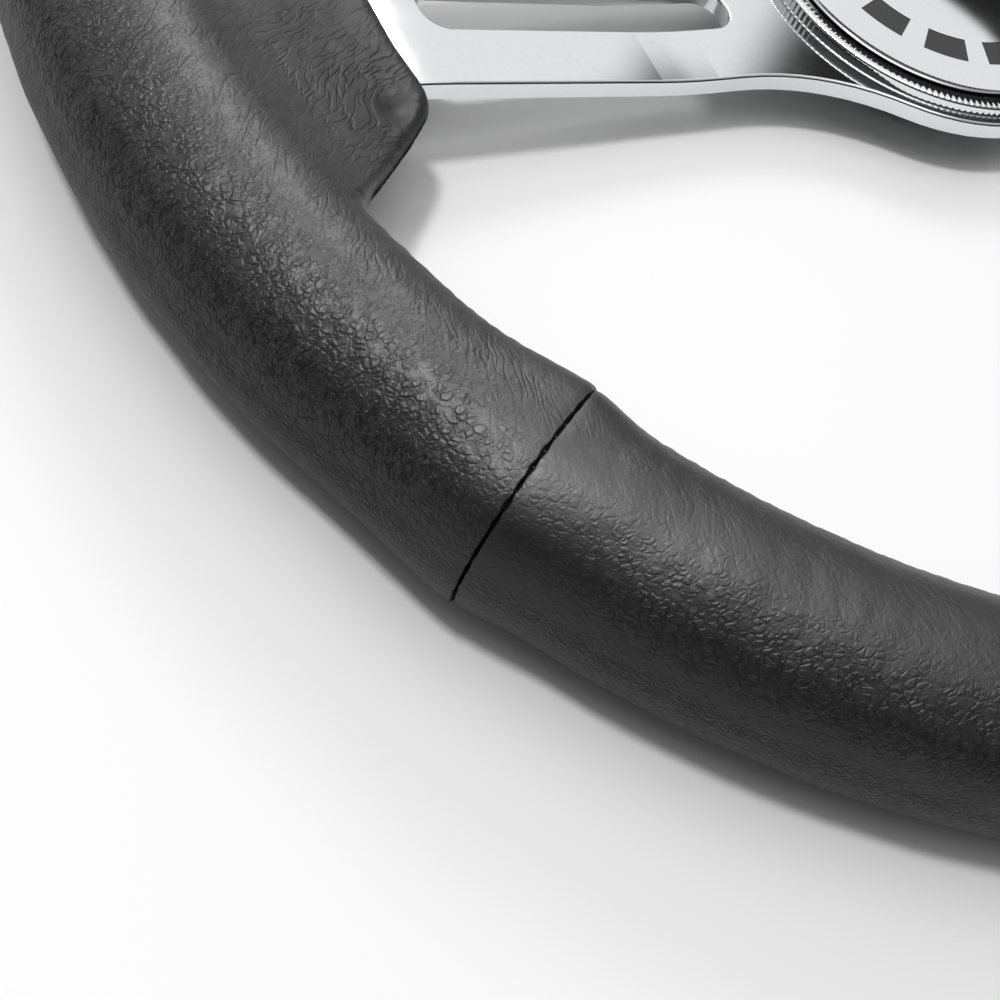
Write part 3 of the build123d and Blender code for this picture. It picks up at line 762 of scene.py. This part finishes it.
def leather_material():
    """Black leather: pebbles and islands on the flank, folds over crest and grips, streaks low outside."""
    material, tree, shader = new_material("leather_grain")
    around = attribute(tree, "around")
    flat = plane(tree, attribute(tree, "along"), around)
    pebbles = attribute(tree, "pebbles")
    islands = attribute(tree, "islands")
    wrinkles = attribute(tree, "wrinkles")
    streaks = attribute(tree, "streaks")
    wall_painted_shade = attribute(tree, "painted_wall_shade")
    small, large, low = grain_cells(tree, flat)
    line = fold_lines(tree, flat, around)
    broken = ramp(tree, noise(tree, flat, scale=0.5, detail=2), 0.36, 0.56, out_low=0.3)
    pores = noise(tree, flat, scale=3.0, detail=3)
    swell = noise(tree, flat, scale=0.3, detail=2)
    height = total(
        tree,
        product(tree, small, broken, pebbles, PEBBLE_HEIGHT),
        product(tree, large, islands, ISLAND_HEIGHT),
        product(tree, low, streaks, STREAK_HEIGHT),
        product(tree, line, wrinkles, -FOLD_DEPTH),
        product(tree, pores, PORE_HEIGHT),
        product(tree, swell, SWELL_HEIGHT),
    )
    add_bump(tree, shader, height, MM)
    specks = node(tree, "ShaderNodeTexVoronoi", None, {"Vector": flat, "Scale": DUST_SCALE})
    hide = blend_colours(tree, pores, grey(HIDE_DARK), grey(HIDE_PALE))
    dusty = ramp(tree, specks.outputs["Distance"], *DUST_SPECK, out_low=1.0, out_high=0.0)
    tree.links.new(blend_colours(tree, dusty, hide, grey(DUST)), shader.inputs["Base Color"])
    rough = ramp(tree, pores, 0.3, 0.7, *HIDE_ROUGHNESS)
    rough = total(tree, rough, product(tree, wall_painted_shade, SHADED_WALL_ROUGHNESS))
    tree.links.new(rough, shader.inputs["Roughness"])
    # Painted shade: the lines of the grain and the folds lose gloss, standing in for the shadow down in each
    # crease
    painted_crease_shade = total(
        tree,
        product(tree, rest_of(tree, small), broken, pebbles, PEBBLE_PAINTED_SHADE),
        product(tree, rest_of(tree, large), broken, islands, ISLAND_PAINTED_SHADE),
        product(tree, rest_of(tree, low), streaks, STREAK_PAINTED_SHADE),
        product(tree, line, wrinkles, FOLD_PAINTED_SHADE),
    )
    # Painted shade also on the steep wall under each grip's edge, which loses all its gloss and is rougher
    painted_shade = maths(tree, "MAXIMUM", painted_crease_shade, wall_painted_shade)
    # Painted highlight: the crest has more gloss than the flank, standing in for the lamps' light falling
    # over it
    gloss = ramp(tree, attribute(tree, "painted_crest_highlight"), 0.0, 1.0, FLANK_GLOSS, CREST_PAINTED_HIGHLIGHT_GLOSS)
    gloss = product(tree, gloss, ramp(tree, painted_shade, 0.0, 1.0, out_low=1.0, out_high=0.0))
    tree.links.new(gloss, shader.inputs["Specular IOR Level"])
    return material


def thread_material():
    material, tree, shader = new_material("black_thread")
    twist = noise(tree, object_place(tree), scale=2400, detail=2)
    add_bump(tree, shader, twist, THREAD_TWIST, strength=0.6)
    colour = blend_colours(tree, twist, grey(THREAD_DARK), grey(THREAD_PALE))
    tree.links.new(colour, shader.inputs["Base Color"])
    shader.inputs["Roughness"].default_value = THREAD_ROUGHNESS
    return material


def metal_material(name, colour, roughness, wander, grain):
    """A metal with faint unevenness: wander spreads its roughness, grain is its surface's depth in mm."""
    material, tree, shader = new_material(name)
    where = object_place(tree)
    cloud = noise(tree, where, scale=90, detail=4)
    fine = noise(tree, where, scale=900, detail=3)
    rough = ramp(tree, cloud, 0.3, 0.7, roughness - wander, roughness + wander)
    tree.links.new(rough, shader.inputs["Roughness"])
    darker = tuple(METAL_SHADE * part for part in colour) + (1.0,)
    tree.links.new(blend_colours(tree, fine, darker, colour + (1.0,)), shader.inputs["Base Color"])
    add_bump(tree, shader, cloud, grain * MM)
    shader.inputs["Metallic"].default_value = 1.0
    return material


def plastic_material(name, value, roughness, grain):
    """A dark plastic with fine speckles: grain is the depth of its surface in mm."""
    material, tree, shader = new_material(name)
    fine = noise(tree, object_place(tree), scale=1500, detail=3)
    speckled = blend_colours(tree, fine, grey(PLASTIC_DARK * value), grey(PLASTIC_PALE * value))
    tree.links.new(speckled, shader.inputs["Base Color"])
    rough = ramp(tree, fine, 0.2, 0.8, roughness - PLASTIC_WANDER, roughness + PLASTIC_WANDER)
    tree.links.new(rough, shader.inputs["Roughness"])
    add_bump(tree, shader, fine, grain * MM)
    return material


leather = leather_material()
thread = thread_material()
chrome = metal_material("bright_chrome", (0.80, 0.81, 0.82), roughness=0.05, wander=0.02, grain=0.002)
satin = metal_material("satin_chrome", (0.76, 0.77, 0.78), roughness=0.07, wander=0.02, grain=0.002)
steel = metal_material("plain_steel", (0.45, 0.45, 0.46), roughness=0.38, wander=0.08, grain=0.02)
brass = metal_material("brass", (0.78, 0.58, 0.28), roughness=0.28, wander=0.06, grain=0.01)
plastic = plastic_material("black_plastic", value=0.025, roughness=0.45, grain=0.03)
enamel = plastic_material("black_enamel", value=0.012, roughness=0.18, grain=0.004)
foam = plastic_material("dark_foam", value=0.015, roughness=0.8, grain=0.15)


# Pieces

def place(piece, material, body, slot, *nodes):
    """Give a piece its material and its body, in the place of CAD nodes where any are named; slot is not
    used.
    """
    piece.data.materials.clear()
    piece.data.materials.append(material)
    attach(piece, body)
    if nodes:
        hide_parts(*nodes)


# Name, CAD node, start and end in degrees, columns along, points from edge to equator, kind
panels = (
    ("panel_right_grip", "leather_right_grip", SEAMS[3] - 360, SEAMS[0], 370, 122, GRIP_PANEL),
    ("panel_top", "leather_top", SEAMS[0], SEAMS[1], 410, 110, PLAIN_PANEL),
    ("panel_left_grip", "leather_left_grip", SEAMS[1], SEAMS[2], 300, 100, GRIP_PANEL),
    ("panel_bottom", "leather_bottom", SEAMS[2], SEAMS[3], 400, 100, PLAIN_PANEL),
)
for name, cad_node, *shape in panels:
    place(leather_panel(name, *shape), leather, "wheel", "leather", cad_node)
for number, angle in enumerate(SEAMS):
    place(seam_stitches(f"seam_stitches_{number + 1}", angle), thread, "wheel", "leather")
for number, (start, end) in enumerate(LACED_STRETCHES):
    place(lacing(f"inner_lacing_{number + 1}", start, end), thread, "wheel", "leather")

place(fluted_bezel("fluted_bezel"), chrome, "wheel", "chrome_trim", "horn_bezel")

# The real spring shortens under the button, but this one keeps its drawn length and its ends are not tied to
# the wheel or the button
spring, spring_foot, spring_top = coil_spring("coil_spring")
spring.data.materials.append(steel)
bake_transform(spring)
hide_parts("horn_spring")

finishes = {
    "spoke_plate": satin,
    "rim_hoop": steel,
    "spoke_rivets": steel,
    "rim_foam": foam,
    "horn_body": plastic,
    "snap_ring": steel,
    "horn_inlays": enamel,
    "horn_cap": satin,
    "horn_plunger": plastic,
    "contact_disc": brass,
    "centre_screw": steel,
    "retaining_studs": steel,
    "contact_ring": brass,
    "terminal_blades": brass,
    "contact_rivets": brass,
}
for name, material in finishes.items():
    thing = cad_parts[name]
    thing.data.materials.clear()
    thing.data.materials.append(material)


# Stage: pale floor, soft box above, key from the right, back light, and a dim room with a paler far side

FLOOR_REACH = 20.0
FLOOR_SIDES = 96
FLOOR_GREY = 0.68
FLOOR_ROUGHNESS = 0.7
floor_turns = [2 * pi * side / FLOOR_SIDES for side in range(FLOOR_SIDES)]
floor_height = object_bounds()[0][2]
floor_points = [(FLOOR_REACH * cos(turn), FLOOR_REACH * sin(turn), floor_height) for turn in floor_turns]
floor = new_mesh("floor", floor_points, [tuple(range(FLOOR_SIDES))])
floor_material, _, floor_shader = new_material("pale_floor")
floor_shader.inputs["Base Color"].default_value = grey(FLOOR_GREY)
floor_shader.inputs["Roughness"].default_value = FLOOR_ROUGHNESS
floor.data.materials.append(floor_material)


def area_light(name, spot, target, across, width, height, power):
    """A flat rectangular lamp that faces a target, with its width along across."""
    light = bpy.data.lights.new(name, "AREA")
    light.shape = "RECTANGLE"
    light.size = width
    light.size_y = height
    light.energy = power
    back = (Vector(spot) - Vector(target)).normalized()
    side = (Vector(across) - back * back.dot(Vector(across))).normalized()
    facing = Matrix((side, back.cross(side), back)).transposed().to_4x4()
    lamp = bpy.data.objects.new(name, light)
    lamp.matrix_world = Matrix.Translation(spot) @ facing
    bpy.context.scene.collection.objects.link(lamp)


LAMP_TARGET = (0.12, 0.06, 0.0)
LAMP_ACROSS = (0.951, 0.309, 0.0)
area_light(
    "soft_box", spot=(0.12, 0.06, 0.88), target=(0.12, 0.08, 0.0), across=(0.695, -0.719, 0.0),
    width=0.90, height=0.84, power=3.2,
)
area_light(
    "key", spot=(0.641, -0.050, 1.504), target=LAMP_TARGET, across=LAMP_ACROSS,
    width=0.19, height=0.19, power=13.4,
)
area_light(
    "back_light", spot=(-0.24, -0.72, 0.74), target=LAMP_TARGET, across=LAMP_ACROSS,
    width=0.30, height=0.30, power=3.6,
)

# Room: a pale far side, a fainter right side and ceiling, and a dark doorway; bearings in degrees from +X,
# heights as the upward part of a direction
FAR_SIDE = (190, 255)
RIGHT_SIDE = (190, 340)
SIDE_EDGE = 0.15
DOORWAY = (203, 222.5)
DOORWAY_EDGE = 0.04
DOORWAY_TOP = (0.57, 0.63)
CEILING = (0.40, 0.80)
RIGHT_SIDE_SHARE = 0.55
CEILING_SHARE = 0.5
ROOM_DARK = 0.02
ROOM_PALE = 1.0
world = bpy.data.worlds.new("studio")
bpy.context.scene.world = world
world.use_nodes = True
sky = world.node_tree
outward = node(sky, "ShaderNodeTexCoord").outputs["Generated"]
upward = node(sky, "ShaderNodeSeparateXYZ", None, {"Vector": outward}).outputs["Z"]


def past_bearing(bearing, softness):
    """1 in the half of the room that lies anticlockwise of a bearing, 0 in the other half."""
    side = (-sin(radians(bearing)), cos(radians(bearing)), 0.0)
    offset = vector_maths(sky, "DOT_PRODUCT", {0: outward, 1: side}).outputs["Value"]
    return ramp(sky, offset, -softness, softness)


def between(first, last, softness):
    """1 between two bearings less than half a turn apart, 0 elsewhere."""
    return product(sky, past_bearing(first, softness), past_bearing(last - 180, softness))


far_side = between(*FAR_SIDE, SIDE_EDGE)
right_side = product(sky, between(*RIGHT_SIDE, SIDE_EDGE), RIGHT_SIDE_SHARE)
ceiling = ramp(sky, upward, *CEILING, out_high=CEILING_SHARE)
below_lintel = ramp(sky, upward, *DOORWAY_TOP, out_low=1.0, out_high=0.0)
doorway = product(sky, between(*DOORWAY, DOORWAY_EDGE), below_lintel)
pale = maths(sky, "MAXIMUM", maths(sky, "MAXIMUM", far_side, right_side), ceiling)
lit = product(sky, pale, rest_of(sky, doorway))
glow = ramp(sky, lit, 0.0, 1.0, ROOM_DARK, ROOM_PALE)
sky.links.new(glow, sky.nodes["Background"].inputs["Color"])

ahead = (CAMERA_TARGET - CAMERA_PLACE).normalized()
level = ahead.cross(Vector((0, 0, 1))).normalized()
upright = level.cross(ahead)
right = level * cos(radians(CAMERA_ROLL)) + upright * sin(radians(CAMERA_ROLL))
up = right.cross(ahead)
lens = bpy.data.cameras.new("camera")
lens.lens = CAMERA_LENS
lens.sensor_width = CAMERA_SENSOR
lens.clip_start = CAMERA_NEAREST
camera = bpy.data.objects.new("camera", lens)
camera.matrix_world = Matrix((right, up, -ahead)).transposed().to_4x4()
camera.location = CAMERA_PLACE
bpy.context.scene.collection.objects.link(camera)
bpy.context.scene.camera = camera
bpy.context.scene.view_settings.view_transform = "Standard"
